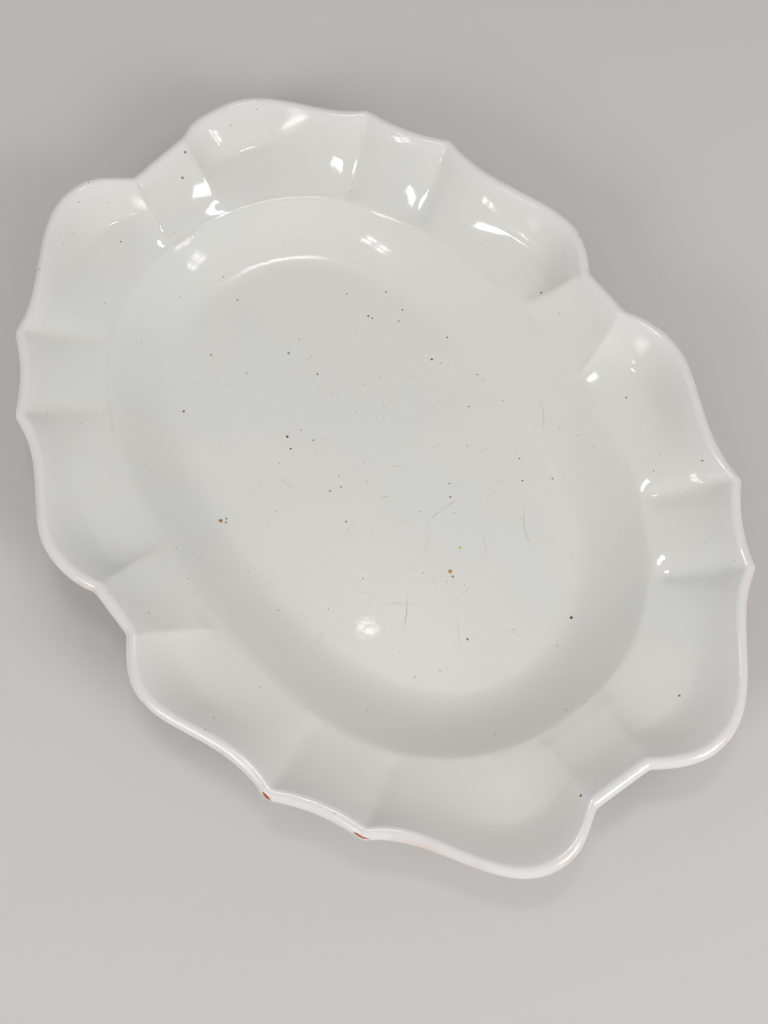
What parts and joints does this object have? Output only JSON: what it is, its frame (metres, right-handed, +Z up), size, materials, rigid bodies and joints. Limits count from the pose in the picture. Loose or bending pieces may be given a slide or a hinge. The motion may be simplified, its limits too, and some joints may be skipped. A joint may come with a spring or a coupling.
{
  "type": "serving platter",
  "caption": "Lobed oval serving platter in white tin-glazed earthenware, with a shallow well, a rim of scooped panels between ridges, a rounded lip and a low foot ring.",
  "frame": {"origin": "on the surface that the platter stands on, below the middle of the well", "axes": "+X along the length, +Y across the width, +Z up"},
  "size_m": [0.356, 0.2649, 0.038],
  "materials": {
    "terracotta": "matt fired earthenware, seen only where the glaze is chipped",
    "bare_foot": "matt wiped clay, worn smooth and a little grey",
    "front_glaze": "glossy opaque greenish-grey white, with fine specks and faint knife marks",
    "back_glaze": "glossy white, thinner than the front, with specks and kiln marks"
  },
  "bodies": {
    "root": {"clay_body": "terracotta", "foot_ring": "bare_foot", "front_glaze": "front_glaze", "back_glaze": "back_glaze"}
  },
  "joints": []
}
